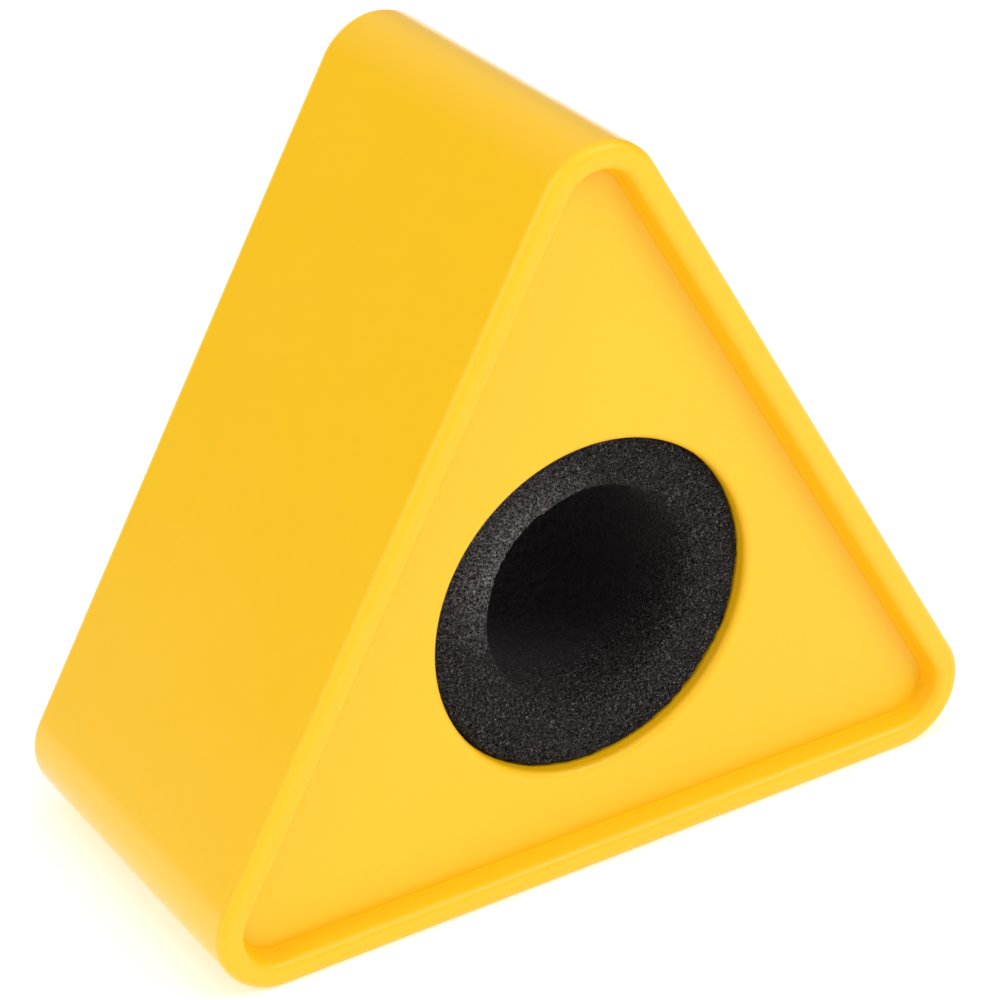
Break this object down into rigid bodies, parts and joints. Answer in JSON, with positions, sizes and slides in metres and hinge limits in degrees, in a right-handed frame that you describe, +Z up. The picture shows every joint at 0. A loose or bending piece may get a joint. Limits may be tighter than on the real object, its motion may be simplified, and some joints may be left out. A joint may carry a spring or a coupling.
{
  "type": "microphone flag",
  "caption": "Blank triangular sign box that slides over a hand-held microphone's handle, with recessed ends, a round through hole and a gripping foam sleeve.",
  "frame": {"origin": "centre of the bottom of the box, on the lower wall's outer face", "axes": "+Z up towards the upper corner, +X to the right seen from the front, and the bore along Y with the front plate facing -Y"},
  "size_m": [0.0944, 0.045, 0.0836],
  "materials": {
    "yellow_plastic": "satin",
    "black_foam": "matte"
  },
  "bodies": {
    "flag": {"shell": "yellow_plastic", "rear_cover": "yellow_plastic"},
    "sleeve": {"foam_sleeve": "black_foam"}
  },
  "joints": [
    {"name": "foam_pull_out", "type": "slide", "parent": "flag", "child": "sleeve", "axis": [0, -1, 0], "range_m": [0, 0.045]}
  ]
}
